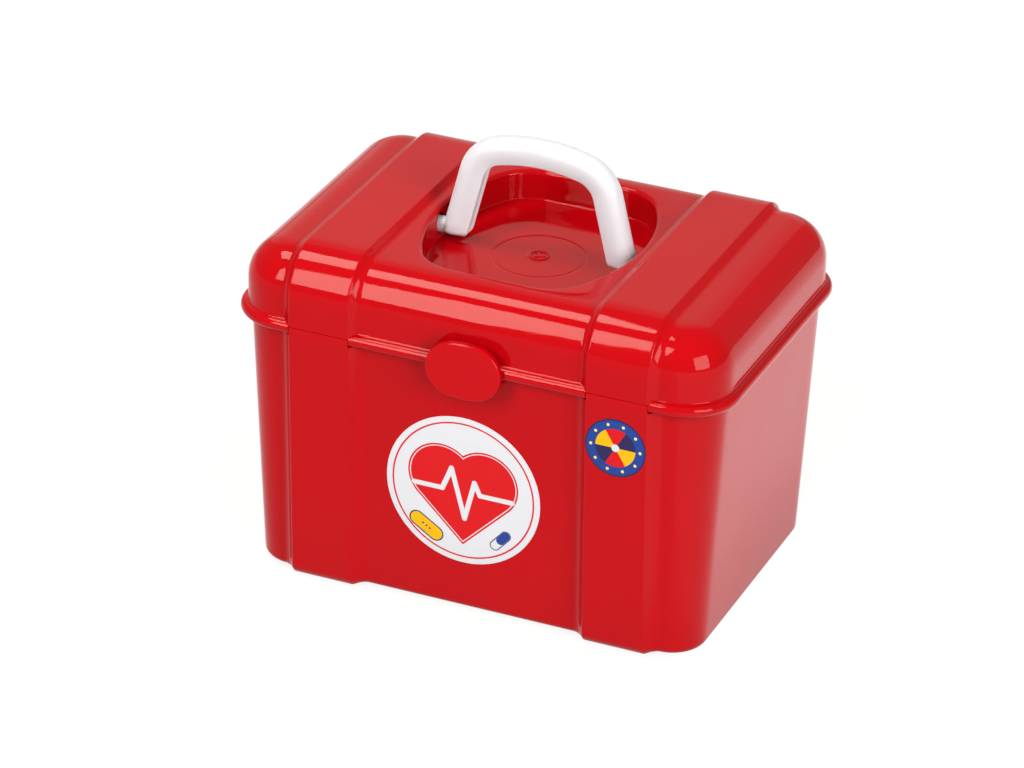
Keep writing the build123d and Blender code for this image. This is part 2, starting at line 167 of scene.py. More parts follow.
def soft_box(name, azimuth, elevation, distance, width, height, radiance):
    """Area light aimed at the case; azimuth from the front towards the right, in degrees."""
    lamp = bpy.data.lights.new(name, "AREA")
    lamp.shape = "RECTANGLE"
    lamp.size = width
    lamp.size_y = height
    lamp.energy = radiance * math.pi * width * height
    lamp.color = (1.0, 0.97, 0.86)
    lamp_object = bpy.data.objects.new(name, lamp)
    az, el = math.radians(azimuth), math.radians(elevation)
    out = Vector((math.sin(az) * math.cos(el), -math.cos(az) * math.cos(el), math.sin(el)))
    lamp_object.location = Vector((0, 0, 0.14)) + out * distance
    lamp_object.rotation_euler = out.to_track_quat("Z", "Y").to_euler()
    scene.collection.objects.link(lamp_object)


soft_box("overhead box", -78, 65.6, 2.11, 0.72, 0.6, 19.0)
soft_box("front left box", -26, 33, 2.4, 0.5, 1.75, 18.0)
soft_box("right window", 58, 20, 2.6, 1.45, 1.45, 12.0)


# The lid: one moulding of glossy red polypropylene, 2.6 mm thick, with generous rounds, two bands
# standing proud of it, a rolled half-round bead that hangs over the tub's rim, and a deep recess
# with two slots for the handle's axles.
def band_height(x, start, width, proud, slope, edge_soft, foot_soft):
    """Height of a raised band at x: a trapezoid, soft at its edge and hollow at its foot."""

    def ramp(distance, soft):
        u = np.clip(distance + soft / 2, 0, soft)
        return np.where(distance > soft / 2, distance, u**2 / (2 * soft))

    x = np.abs(np.asarray(x, float))
    run = proud * slope
    total = np.zeros_like(x)
    for distance in (x - (start - run), start + width + run - x):
        total += (ramp(distance, foot_soft) - ramp(distance - run, edge_soft)) / run
    return proud * np.clip(total - 1, 0, 1)


def flank_stations(start, width, run, soft, step):
    """Values of x close together over each flank of the bands, in order."""
    spans = []
    for low, high in ((start - run, start), (start + width, start + width + run)):
        count = int(math.ceil((high - low + soft + 2 * step) / step))
        spans.append(np.linspace(low - soft / 2 - step, high + soft / 2 + step, count + 1))
    found = np.concatenate(spans)
    return np.concatenate([-found[::-1], found])


def plan_loop(x_list, y_list, corner_steps):
    """Stations round a plan: their sides, offsets, signs of the core's x and y, and directions.

    A station's point is its offset, plus the core's half sizes times its signs, plus a radius
    along its direction. Straight stations stand at the values in x_list and y_list."""
    kinds, offsets, signs, directions = [], [], [], []
    quarter = np.linspace(0, math.pi / 2, corner_steps + 1)
    sides = (
        ("front", x_list, (1, 0), (0, -1), -math.pi / 2, (1, -1)),
        ("right", y_list, (0, 1), (1, 0), 0, (1, 1)),
        ("back", x_list[::-1], (1, 0), (0, 1), math.pi / 2, (-1, 1)),
        ("left", y_list[::-1], (0, 1), (-1, 0), math.pi, (-1, -1)),
    )
    for side, places, run, outward, angle, corner in sides:
        for place_along in places:
            kinds.append(side)
            offsets.append((run[0] * place_along, run[1] * place_along))
            signs.append(outward)
            directions.append(outward)
        for turn_angle in quarter:
            kinds.append("corner")
            offsets.append((0, 0))
            signs.append(corner)
            directions.append((math.cos(angle + turn_angle), math.sin(angle + turn_angle)))
    return kinds, np.array(offsets, float), np.array(signs, float), np.array(directions, float)


def plan_ring(loop, core_x, core_y, radius, height):
    """Points round the plan; the core, the radius and the height may vary by station."""
    kinds, offsets, signs, directions = loop
    count = len(kinds)
    core = np.column_stack([np.broadcast_to(core_x, count), np.broadcast_to(core_y, count)])
    plan = offsets + signs * core + directions * np.broadcast_to(radius, count)[:, None]
    return np.column_stack([plan, np.broadcast_to(height, count)])


def chain_faces(rings, start=0):
    """Quads between closed rings of the same size, laid one after the other from index start."""
    count = len(rings[0])
    k = np.arange(count)
    after = (k + 1) % count
    faces = []
    for i in range(len(rings) - 1):
        a, b = start + i * count, start + (i + 1) * count
        faces += np.stack([a + k, a + after, b + after, b + k], axis=1).tolist()
    return faces


def flat_cap(loop_sizes, first, grid_first, hole=None):
    """Faces that close a plan ring with a grid, seen from above. Returns them and the hole's edge.

    hole is the first and last grid column left open, from the front of the ring to its back."""
    x_count, y_count, corner_count = loop_sizes
    columns, rows = x_count + 2, y_count + 2
    grid = grid_first + np.arange(columns * rows).reshape(columns, rows)
    sizes = (x_count, corner_count, y_count, corner_count) * 2
    begins = first + np.concatenate([[0], np.cumsum(sizes)])
    total = begins[-1] - first
    edges = []
    for side in range(4):
        begin = begins[2 * side]
        length = sizes[2 * side]
        before = first + (begin - first - 1) % total
        edges.append([before, *range(begin, begin + length), begin + length])
    inner = [grid[:, 0], grid[-1, :], grid[::-1, -1], grid[0, ::-1]]
    low, high = hole or (0, 0)
    faces = []
    for side, (outer_row, inner_row) in enumerate(zip(edges, inner)):
        for k in range(len(outer_row) - 1):
            column = k if side == 0 else columns - 2 - k
            if side in (0, 2) and low <= column < high:
                continue
            faces.append((outer_row[k], outer_row[k + 1], inner_row[k + 1], inner_row[k]))
        corner_begin = begins[2 * side + 1]
        for k in range(corner_count - 1):
            faces.append((corner_begin + k, corner_begin + k + 1, inner_row[-1]))
    for i in range(columns - 1):
        if low <= i < high:
            continue
        for j in range(rows - 1):
            faces.append((grid[i, j], grid[i + 1, j], grid[i + 1, j + 1], grid[i, j + 1]))
    rim = []
    if hole:
        rim = edges[0][low : high + 1] + list(grid[high, :])
        rim += edges[2][columns - 1 - high : columns - low] + list(grid[low, ::-1])
    return [tuple(int(v) for v in face) for face in faces], [int(v) for v in rim]


def grid_points(x_values, y_values, height_of_x):
    """Grid under a flat cap, column by column."""
    heights = height_of_x(x_values)
    return np.array([(x, y, z) for x, z in zip(x_values, heights) for y in y_values])


def make_object(name, points, faces, material, sharp=34):
    """Mesh object from points in millimetres, shaded smooth between sharp edges."""
    mesh = bpy.data.meshes.new(name)
    mesh.from_pydata((np.asarray(points) * MM).tolist(), [], faces)
    work = bmesh.new()
    work.from_mesh(mesh)
    bmesh.ops.remove_doubles(work, verts=work.verts, dist=1e-6)
    bmesh.ops.dissolve_degenerate(work, edges=work.edges, dist=1e-7)
    work.to_mesh(mesh)
    work.free()
    mesh.materials.append(material)
    mesh.shade_smooth()
    mesh.set_sharp_from_angle(angle=math.radians(sharp))
    made = bpy.data.objects.new(name, mesh)
    scene.collection.objects.link(made)
    return made


def apply_modifiers(made, sharp=34):
    """Turns what the modifiers show into the object's own mesh."""
    bpy.context.view_layer.update()
    shown = made.evaluated_get(bpy.context.evaluated_depsgraph_get())
    mesh = bpy.data.meshes.new_from_object(shown)
    made.modifiers.clear()
    made.data = mesh
    mesh.shade_smooth()
    mesh.set_sharp_from_angle(angle=math.radians(sharp))
    return made


def face_outwards(made):
    """Turns a closed piece's faces outward."""
    work = bmesh.new()
    work.from_mesh(made.data)
    bmesh.ops.recalc_face_normals(work, faces=work.faces)
    work.to_mesh(made.data)
    work.free()


def prism(name, outline, x_low, x_high, material, bevel=0.0):
    """Solid of a Y-Z outline, in millimetres, between two values of x, with bevelled edges."""
    count = len(outline)
    points = [(x, y, z) for x in (x_low, x_high) for y, z in outline]
    faces = [tuple(range(count))[::-1], tuple(range(count, 2 * count))]
    faces += [(k, (k + 1) % count, (k + 1) % count + count, k + count) for k in range(count)]
    made = make_object(name, points, faces, material)
    face_outwards(made)
    if bevel:
        edge = made.modifiers.new("edge", "BEVEL")
        edge.width = bevel * MM
        edge.segments = 2
        edge.limit_method = "ANGLE"
        edge.angle_limit = math.radians(40)
        apply_modifiers(made)
    return made


def arc_points(centre, radius, start, end, steps):
    """Points on an arc in a plane, angles in degrees."""
    angles = np.radians(np.linspace(start, end, steps + 1))
    return [(centre[0] + radius * math.cos(a), centre[1] + radius * math.sin(a)) for a in angles]


def cut(made, cutter, sharp=34):
    """Takes the cutter out of the piece and deletes it."""
    difference = made.modifiers.new("cut", "BOOLEAN")
    difference.operation = "DIFFERENCE"
    difference.solver = "EXACT"
    difference.object = cutter
    apply_modifiers(made, sharp)
    bpy.data.objects.remove(cutter)
    return made


def row_along_x(piece, count, spacing):
    """Copies of a piece along x, evenly about the middle, laid out by a tree into one mesh."""
    tree = bpy.data.node_groups.new("row of " + piece.name, "GeometryNodeTree")
    socket = {}
    kinds = (("Piece", "Object"), ("Count", "Int"), ("Spacing", "Float"), ("Material", "Material"))
    for label, kind in kinds:
        made = tree.interface.new_socket(label, in_out="INPUT", socket_type="NodeSocket" + kind)
        socket[label] = made.identifier
    tree.interface.new_socket("Geometry", in_out="OUTPUT", socket_type="NodeSocketGeometry")
    given = tree.nodes.new("NodeGroupInput").outputs
    last = link_new(tree, "ShaderNodeMath")
    last.operation = "SUBTRACT"
    last.inputs[1].default_value = 1.0
    tree.links.new(given["Count"], last.inputs[0])
    start = tree.nodes.new("ShaderNodeVectorMath")
    start.operation = "SCALE"
    step = link_new(tree, "ShaderNodeCombineXYZ", X=given["Spacing"])
    half = tree.nodes.new("ShaderNodeMath")
    half.operation = "MULTIPLY"
    half.inputs[1].default_value = -0.5
    tree.links.new(last.outputs[0], half.inputs[0])
    tree.links.new(step.outputs["Vector"], start.inputs[0])
    tree.links.new(half.outputs[0], start.inputs["Scale"])
    line = link_new(
        tree,
        "GeometryNodeMeshLine",
        Count=given["Count"],
        Start_Location=start.outputs["Vector"],
        Offset=step.outputs["Vector"],
    )
    source = link_new(tree, "GeometryNodeObjectInfo", Object=given["Piece"])
    placed = link_new(
        tree,
        "GeometryNodeInstanceOnPoints",
        Points=line.outputs["Mesh"],
        Instance=source.outputs["Geometry"],
    )
    real = link_new(tree, "GeometryNodeRealizeInstances", Geometry=placed.outputs["Instances"])
    dressed = link_new(
        tree, "GeometryNodeSetMaterial", Geometry=real.outputs["Geometry"], Material=given["Material"]
    )
    link_new(tree, "NodeGroupOutput", Geometry=dressed.outputs["Geometry"])
    row = bpy.data.objects.new(piece.name + "_row", bpy.data.meshes.new(piece.name))
    scene.collection.objects.link(row)
    layout = row.modifiers.new("row", "NODES")
    layout.node_group = tree
    layout[socket["Piece"]] = piece
    layout[socket["Count"]] = count
    layout[socket["Spacing"]] = spacing * MM
    layout[socket["Material"]] = piece.data.materials[0]
    apply_modifiers(row)
    bpy.data.objects.remove(piece)
    return row


def join(made, *others):
    """Adds other pieces' meshes to the first one's, as loose solids of one moulding."""
    work = bmesh.new()
    work.from_mesh(made.data)
    for other in others:
        work.from_mesh(other.data)
        bpy.data.objects.remove(other)
    work.to_mesh(made.data)
    work.free()
    return made


def red_plastic(name, colour):
    """Smooth but never quite flat, with fine handling marks that dull the gloss here and there."""
    material, tree, surface = shader(name)
    place_node = tree.nodes.new("ShaderNodeTexCoord")
    place_output = place_node.outputs["Object"]
    sink = link_new(tree, "ShaderNodeTexNoise", Vector=place_output, Scale=28.0, Detail=1.0)
    grain = link_new(tree, "ShaderNodeTexNoise", Vector=place_output, Scale=900.0, Detail=2.0)
    marks = link_new(tree, "ShaderNodeTexNoise", Vector=place_output, Scale=55.0, Detail=6.0, Roughness=0.7)
    tone = link_new(tree, "ShaderNodeTexNoise", Vector=place_output, Scale=9.0, Detail=2.0)
    shade = tree.nodes.new("ShaderNodeMix")
    shade.data_type = "RGBA"
    tree.links.new(tone.outputs["Fac"], shade.inputs["Factor"])
    shade.inputs["A"].default_value = (*[c * 0.93 for c in colour], 1)
    shade.inputs["B"].default_value = (*[min(c * 1.06, 1) for c in colour], 1)
    tree.links.new(shade.outputs["Result"], surface.inputs["Base Color"])
    dull = tree.nodes.new("ShaderNodeMapRange")
    dull.inputs["From Min"].default_value = 0.35
    dull.inputs["From Max"].default_value = 0.75
    dull.inputs["To Min"].default_value = 0.03
    dull.inputs["To Max"].default_value = 0.065
    tree.links.new(marks.outputs["Fac"], dull.inputs["Value"])
    tree.links.new(dull.outputs["Result"], surface.inputs["Roughness"])
    wave = link_new(tree, "ShaderNodeBump", Strength=0.25, Distance=0.0006, Height=sink.outputs["Fac"])
    skin = link_new(
        tree,
        "ShaderNodeBump",
        Strength=0.05,
        Distance=0.00005,
        Height=grain.outputs["Fac"],
        Normal=wave.outputs["Normal"],
    )
    tree.links.new(skin.outputs["Normal"], surface.inputs["Normal"])
    surface.inputs["IOR"].default_value = 1.49
    surface.inputs["Specular IOR Level"].default_value = 0.11
    return material


shell_red = red_plastic("glossy red plastic", (0.325, 0.0006, 0.003))

seam = 141.2
lid_base = 141.45
lid_top = 176.2
lid_round = 20.8
lid_wall = 2.6
core_x = 101.8
core_y = 60.55
lid_radius = 24.5
band_start = 62.3
band_width = 31.5
band_proud = 3.4
band_slope = 0.85
band_edge_soft = 1.1
lid_foot_soft = 4.2
corner_steps = 16
bead_tip = 28.2
bead_half = 3.15
bead_middle = 140.2
skirt_radius = 23.1
bead_stops = (62.0, 94.1)
hinge_x = 36.0
hinge_bead_gap = 12.0
wall_shift = lid_wall * (math.hypot(1, band_slope) - band_slope)


def lid_band(x):
    return band_height(x, band_start, band_width, band_proud, band_slope, band_edge_soft, lid_foot_soft)


def lid_groove(x):
    start, width = band_start + wall_shift, band_width - 2 * wall_shift
    return band_height(x, start, width, band_proud, band_slope, band_edge_soft, lid_foot_soft)


hair = 0.01
steps_x = [s * (e + d) for s in (-1, 1) for e in bead_stops for d in (-hair, hair)]
hinge_ends = (hinge_x - hinge_bead_gap, hinge_x + hinge_bead_gap)
steps_x += [s * (e + d) for s in (-1, 1) for e in hinge_ends for d in (-hair, hair)]
lid_x = np.concatenate(
    [
        np.linspace(-57, 57, 38),
        flank_stations(band_start, band_width, band_proud * band_slope, lid_foot_soft, 0.4),
        [s * v for s in (-1, 1) for v in (68.0, 74.0, 80.0, 86.0, 100.0)],
        steps_x,
    ]
)
lid_x = np.unique(np.round(lid_x, 4))
lid_x = lid_x[np.abs(lid_x) < core_x - 0.5]
lid_y = np.linspace(-57, 57, 40)
lid_loop = plan_loop(lid_x, lid_y, corner_steps)
straight = np.array([kind in ("front", "back") for kind in lid_loop[0]])
at_back = np.array([kind == "back" for kind in lid_loop[0]])
along_x = lid_loop[1][:, 0]
band = np.where(straight, lid_band(along_x), 0)
groove = np.where(straight, lid_groove(along_x), 0)
in_band = straight & (np.abs(along_x) > bead_stops[0]) & (np.abs(along_x) < bead_stops[1])
at_hinge = at_back & (np.abs(np.abs(along_x) - hinge_x) < hinge_bead_gap)
has_bead = ~(in_band | at_hinge)


def lid_ring(radius, height):
    return plan_ring(lid_loop, core_x, core_y, radius, height)


def lid_shell_rings():
    """Rings from the inside of the top down to the bead, round it, and up to the top outside."""
    rings = []
    edge = np.radians(np.linspace(90, 0, 21))
    middle = lid_top - lid_round
    top_core = lid_radius - lid_round
    inner_round = lid_round - lid_wall
    for angle in edge:
        reach = inner_round + groove
        rings.append(lid_ring(top_core + reach * np.cos(angle), middle + reach * np.sin(angle)))
    inner = lid_radius - lid_wall + groove
    rings.append(lid_ring(inner, 148.0))
    rings.append(lid_ring(inner, lid_base))
    outer = lid_radius + band
    skirt = np.maximum(skirt_radius, inner)
    bottom = bead_middle - bead_half
    centre = bead_tip - bead_half
    lower_edge = ((skirt_radius, lid_base), (skirt_radius, bottom + 0.5), (skirt_radius + 0.5, bottom))
    for radius, height in lower_edge:
        reach = np.where(has_bead, np.maximum(skirt + radius - skirt_radius, radius), inner)
        rings.append(lid_ring(reach, np.where(has_bead, height, lid_base)))
    for angle in np.radians(np.linspace(-90, 80, 16)):
        reach = centre + bead_half * math.cos(angle)
        height = bead_middle + bead_half * math.sin(angle)
        if height > lid_base:
            reach = np.maximum(reach, outer)
        else:
            reach = np.maximum(reach, skirt + 1.0)
        rings.append(lid_ring(np.where(has_bead, reach, outer), np.where(has_bead, height, lid_base)))
    for lift_off, height in ((0.7, 143.42), (0.28, 143.68), (0.07, 144.1), (0.0, 144.7)):
        reach = np.maximum(lid_radius + lift_off, outer)
        rings.append(lid_ring(np.where(has_bead, reach, outer), height))
    rings.append(lid_ring(outer, 149.0))
    for angle in edge[::-1]:
        reach = lid_round + band
        rings.append(lid_ring(top_core + reach * np.cos(angle), middle + reach * np.sin(angle)))
    return rings


recess_half_x = 53.2
recess_half_y = 59.4
recess_bow = 19.7
recess_corner = 24.0
recess_floor = 160.5
recess_wall = 2.2
recess_lip = 2.6
recess_floor_round = 1.2


def recess_edge(angles, grow):
    """Points of the recess's plan at polar angles, moved outwards by 'grow'."""
    bow_radius = (recess_half_y**2 + recess_bow**2) / (2 * recess_bow)
    bow_x = recess_half_x - bow_radius
    corner_y = recess_half_y - recess_corner
    corner_x = bow_x + math.sqrt((bow_radius - recess_corner) ** 2 - corner_y**2)
    meet = math.atan2(corner_y, corner_x - bow_x)
    a, b = np.linspace(0, meet, 80), np.linspace(meet, math.pi / 2, 80)
    end = np.linspace(corner_x, 0, 40)
    x = np.concatenate([bow_x + bow_radius * np.cos(a), corner_x + recess_corner * np.cos(b), end])
    flat_end = np.full(len(end), recess_half_y)
    y = np.concatenate([bow_radius * np.sin(a), corner_y + recess_corner * np.sin(b), flat_end])
    normal_angle = np.concatenate([a, b, np.full(len(end), math.pi / 2)])
    folded = np.arctan2(np.abs(np.sin(angles)), np.abs(np.cos(angles)))
    polar = np.arctan2(y, x)
    nx = np.interp(folded, polar, np.cos(normal_angle))
    ny = np.interp(folded, polar, np.sin(normal_angle))
    length = np.hypot(nx, ny)
    px = np.interp(folded, polar, x) + grow * nx / length
    py = np.interp(folded, polar, y) + grow * ny / length
    return np.stack([px * np.sign(np.cos(angles)), py * np.sign(np.sin(angles))], axis=1)


def lid_mesh():
    """Points and faces of the whole lid, as one closed skin."""
    rings = lid_shell_rings()
    count = len(rings[0])
    points = list(np.concatenate(rings))
    faces = chain_faces(rings)
    x_values = np.concatenate([[-core_x], lid_x, [core_x]])
    y_values = np.concatenate([[-core_y], lid_y, [core_y]])
    hole = (int(np.searchsorted(x_values, -57.01)), int(np.searchsorted(x_values, 56.99)))
    sizes = (len(lid_x), len(lid_y), corner_steps + 1)
    top_ring = count * (len(rings) - 1)
    for ring_first, height_of_x, flip in (
        (top_ring, lambda x: lid_top + lid_band(x), False),
        (0, lambda x: lid_top - lid_wall + lid_groove(x), True),
    ):
        grid_first = len(points)
        points += list(grid_points(x_values, y_values, height_of_x))
        cap, rim = flat_cap(sizes, ring_first, grid_first, hole)
        edge = np.array([points[v] for v in rim])
        angles = np.arctan2(edge[:, 1], edge[:, 0])
        circle = np.stack([np.cos(angles), np.sin(angles)], axis=1)
        levels = underside_levels(angles, circle) if flip else recess_levels(angles, circle)
        first = len(points)
        for level in levels:
            points += list(level)
        middle = len(points)
        points.append((0, 0, levels[-1][0][2]))
        k = np.arange(len(rim))
        after = (k + 1) % len(rim)
        inward = chain_faces(levels, first)
        inward += [(rim[a], rim[b], first + b, first + a) for a, b in zip(k, after)]
        last = first + len(rim) * (len(levels) - 1)
        inward += [(last + a, last + b, middle) for a, b in zip(k, after)]
        added = cap + [tuple(int(v) for v in face) for face in inward]
        faces += [face[::-1] for face in added] if flip else added
    return np.array(points), faces


def level_at(plan, height):
    return np.column_stack([plan, np.broadcast_to(height, len(plan))])


def recess_levels(angles, circle):
    """Lip, wall, rounded foot and floor of the recess, with the mould's disc and gate marks."""
    levels = []
    for turn_angle in np.radians(np.linspace(0, 90, 9)):
        grow = recess_lip * (1 - math.sin(turn_angle))
        height = lid_top - recess_lip * (1 - math.cos(turn_angle))
        levels.append(level_at(recess_edge(angles, grow), height))
    levels.append(level_at(recess_edge(angles, 0), (lid_top + recess_floor) / 2))
    for turn_angle in np.radians(np.linspace(0, 90, 6)):
        grow = -recess_floor_round * (1 - math.cos(turn_angle))
        height = recess_floor + recess_floor_round * (1 - math.sin(turn_angle))
        levels.append(level_at(recess_edge(angles, grow), height))
    marks = ((24.6, 0), (23.5, 0), (23.2, -0.12), (22.9, 0), (21.8, 0), (14.0, 0), (7.5, 0), (5.3, 0))
    marks += ((5.1, 0.1), (4.95, 0.55), (4.7, 0.65), (4.3, 0.65), (4.05, 0.55), (3.9, 0.1), (3.7, 0))
    for radius, height in marks:
        levels.append(level_at(circle * radius, recess_floor + height))
    spokes = 0.6 * np.clip(3.2 * np.cos(3 * angles) - 1.3, 0, 1)
    for radius, share in ((3.2, 0), (2.9, 1), (1.6, 1)):
        levels.append(level_at(circle * radius, recess_floor + spokes * share))
    for radius in (0.9, 0.3):
        levels.append(level_at(circle * radius, recess_floor + 0.6))
    return levels


def underside_levels(angles, circle):
    """Outside of the recess's walls and floor, seen inside the open lid."""
    levels = []
    roof = lid_top - lid_wall
    base = recess_floor - recess_wall
    profile = ((1.0, roof), (0.3, roof - 0.3), (0, roof - 1.0), (0, 166.0), (0, base + 1.0))
    profile += ((-0.3, base + 0.3), (-1.0, base))
    for beyond, height in profile:
        levels.append(level_at(recess_edge(angles, recess_wall + beyond), height))
    for radius in (23.0, 10.0, 3.0):
        levels.append(level_at(circle * radius, base))
    return levels


lid = make_object("lid_moulding", *lid_mesh(), shell_red)
axle_height = 167.0
slot_half = 4.5
slot_rise = 1.8
slot_outline = arc_points((0, axle_height), slot_half, 180, 360, 16)
slot_outline += arc_points((0, axle_height + slot_rise), slot_half, 0, 180, 16)
slot_span = (50.6, 57.5)
slot_half_length = (slot_span[1] - slot_span[0]) / 2
slot = prism("slot", slot_outline, -slot_half_length, slot_half_length, shell_red)
cut(lid, row_along_x(slot, 2, slot_span[0] + slot_span[1]))
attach(lid, "lid")
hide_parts("case_lid")


# The lid's two hinge arms, moulded on its back wall: each comes over the rim and ends in a
# barrel, bored for a steel pin. The small ears that carry the clasp's pin are on its front.
hinge_axis = (89.5, 137.0)
barrel_radius = 2.98
arm_half = 8.0
arm_root_y = 83.7
arm_outline = [(arm_root_y, lid_base + 0.4), (hinge_axis[0] - barrel_radius, lid_base + 0.4)]
arm_outline += arc_points(hinge_axis, barrel_radius, 180, 360, 18)
arm_outline += arc_points((hinge_axis[0] - 6.5, 144.0), 6.5 + barrel_radius, 0, 52, 8)
arm_outline += [(85.4, 153.0), (arm_root_y, 153.6)]
ear_axis = (-87.6, 150.2)
ear_outline = arc_points(ear_axis, 2.13, 75, 245, 17)
ear_outline += [(-84.0, ear_axis[1] - 3.5), (-84.0, ear_axis[1] + 0.8)]


def bore(made, axis, radius):
    """Bores a piece right through along X, in millimetres."""
    return cut(made, prism("bore", arc_points(axis, radius, 0, 348.75, 31), -20, 20, shell_red))


arm = prism("hinge_arm", arm_outline, -arm_half, arm_half, shell_red, 0.5)
arm_bore = 1.58
hinge_arms = row_along_x(bore(arm, hinge_axis, arm_bore), 2, 2 * hinge_x)
hinge_arms.name = "lid_hinge_arms"
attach(hinge_arms, "lid")

ear_thick = 3.0
ear_spacing = 17.6
ear_bore = 1.23
ear = prism("clasp_ear", ear_outline, -ear_thick / 2, ear_thick / 2, shell_red, 0.3)
clasp_ears = row_along_x(bore(ear, ear_axis, ear_bore), 2, ear_spacing)
clasp_ears.name = "lid_clasp_ears"
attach(clasp_ears, "lid")

# The tub: one moulding, 2.2 mm thick, its walls leaning in towards the floor. The two bands run
# on down its front and back and under the floor, and the case stands on them.
tub_top_radius = 22.7
tub_foot_radius = 18.4
tub_foot_core = (99.7, 60.25)
tub_wall = 2.2
tub_proud = 5.2
tub_round = 4.0
tub_lift = 1.6
band_foot = 7.0
ledge = 136.65
tub_foot_soft = 6.4
tub_flanks = flank_stations(band_start, band_width, tub_proud * band_slope, tub_foot_soft, 0.45)
band_edges = (band_start, band_start + band_width)
tub_x = np.concatenate(
    [
        np.linspace(-54, 54, 25),
        tub_flanks,
        [s * v for s in (-1, 1) for v in (68.0, 74.0, 80.0, 86.0, 99.0)],
        [s * (e + d) for s in (-1, 1) for e in band_edges for d in (-hair, hair)],
    ]
)
tub_x = np.unique(np.round(tub_x, 4))
tub_x = tub_x[np.abs(tub_x) < tub_foot_core[0] - 0.1]
tub_y = np.linspace(-56, 56, 15)
tub_loop = plan_loop(tub_x, tub_y, corner_steps)
tub_straight = np.array([kind in ("front", "back") for kind in tub_loop[0]])
tub_along = tub_loop[1][:, 0]
tub_shift = tub_wall * (math.hypot(1, band_slope) - band_slope)


def tub_share(x):
    """0 on the plain walls, 1 on the face of a band."""
    height = band_height(x, band_start, band_width, tub_proud, band_slope, band_edge_soft, tub_foot_soft)
    return height / tub_proud


def tub_groove_share(x):
    start, width = band_start + tub_shift, band_width - 2 * tub_shift
    height = band_height(x, start, width, tub_proud, band_slope, band_edge_soft, tub_foot_soft)
    return height / tub_proud


def tub_ring(share, inset, height):
    """Ring of the tub at each station's own height, 'inset' inside the wall or the band's face."""
    rise = np.broadcast_to(height, len(tub_loop[0])) / seam
    radius = tub_foot_radius + (tub_top_radius - tub_foot_radius) * rise - inset + share * tub_proud
    core = [foot + (top - foot) * rise for foot, top in zip(tub_foot_core, (core_x, core_y))]
    return plan_ring(tub_loop, *core, radius, height)


def tub_mesh():
    """Points and faces of the tub, as one closed skin from its foot over the rim to its floor."""
    share = np.where(tub_straight, tub_share(tub_along), 0)
    groove_share = np.where(tub_straight, tub_groove_share(tub_along), 0)
    on_band = (np.abs(tub_along) > band_edges[0]) & (np.abs(tub_along) < band_edges[1])
    face = np.where(tub_straight & on_band, 1.0, 0.0)
    quarter = np.radians(np.linspace(0, 90, 11))
    rings = []

    def blend(box, band, part):
        return box + (band - box) * part

    for angle in quarter:
        inset = blend(tub_round, band_foot, share) * (1 - math.sin(angle))
        height = blend(tub_lift, 0, share) + blend(tub_round, band_foot, share) * (1 - math.cos(angle))
        rings.append(tub_ring(share, inset, height))
    for height in (40.0, 90.0, 132.0, ledge):
        rings.append(tub_ring(share, 0, height))
    for inset, height in ((0, ledge), (0, seam - 0.4), (0.12, seam - 0.12), (0.4, seam)):
        rings.append(tub_ring(face, inset, height))
    for inset, height in ((-0.4, seam), (-0.12, seam - 0.12), (0, seam - 0.4)):
        rings.append(tub_ring(groove_share, tub_wall + inset, height))
    for height in (90.0, 40.0):
        rings.append(tub_ring(groove_share, tub_wall, height))
    inner_round, inner_foot = tub_round - tub_wall / 2, band_foot - tub_wall / 2
    for angle in quarter[::-1]:
        inset = tub_wall + blend(inner_round, inner_foot, groove_share) * (1 - math.sin(angle))
        height = blend(tub_lift + tub_wall, tub_wall, groove_share)
        height = height + blend(inner_round, inner_foot, groove_share) * (1 - math.cos(angle))
        rings.append(tub_ring(groove_share, inset, height))
    points = list(np.concatenate(rings))
    faces = chain_faces(rings)
    core = tub_foot_core
    x_values = np.concatenate([[-core[0]], tub_x, [core[0]]])
    y_values = np.concatenate([[-core[1]], tub_y, [core[1]]])
    sizes = (len(tub_x), len(tub_y), corner_steps + 1)
    inner_ring = len(rings[0]) * (len(rings) - 1)
    for ring_first, height_of_x, flip in (
        (0, lambda x: tub_lift * (1 - tub_share(x)), True),
        (inner_ring, lambda x: tub_wall + tub_lift * (1 - tub_groove_share(x)), False),
    ):
        grid_first = len(points)
        points += list(grid_points(x_values, y_values, height_of_x))
        cap, _ = flat_cap(sizes, ring_first, grid_first)
        faces += [f[::-1] for f in cap] if flip else cap
    return np.array(points), faces


tub = make_object("tub_moulding", *tub_mesh(), shell_red)
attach(tub, "tub")
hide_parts("case_tub")

# On the tub's back are two pairs of hinge ears, each pair with a bar between them that stops the
# open lid, and on its front is the small catch that the clasp's hook goes under.
hinge_ear_bore = 1.53
hinge_ear_radius = 3.23
hinge_ear_half = 1.6
hinge_ear_spacing = 20.0
stop_size = 1.7
stop_outer = hinge_axis[0] + hinge_ear_radius
stop_y = (stop_outer - stop_size, stop_outer)
stop_z = (131.6, 131.6 + stop_size)
stop_outline = [(stop_y[0], stop_z[0]), (stop_y[1], stop_z[0]), (stop_y[1], stop_z[1])]
ear_points = stop_outline + arc_points(hinge_axis, hinge_ear_radius, -90, 180, 24)
ear_points += [(81.2, 125.0), (82.0, 125.0), (81.2, 140.2), (82.0, 140.2)]
hull_order = convex_hull_2d([Vector(p) for p in ear_points])
tub_ear_outline = [ear_points[k] for k in hull_order]
stop_outline.append((stop_y[0], stop_z[1]))
hinge_ear = prism("hinge_ear", tub_ear_outline, -hinge_ear_half, hinge_ear_half, shell_red, 0.4)
hinge_ears = row_along_x(bore(hinge_ear, hinge_axis, hinge_ear_bore), 2, hinge_ear_spacing)
hinge = join(hinge_ears, prism("stop", stop_outline, -8.5, 8.5, shell_red, 0.3))
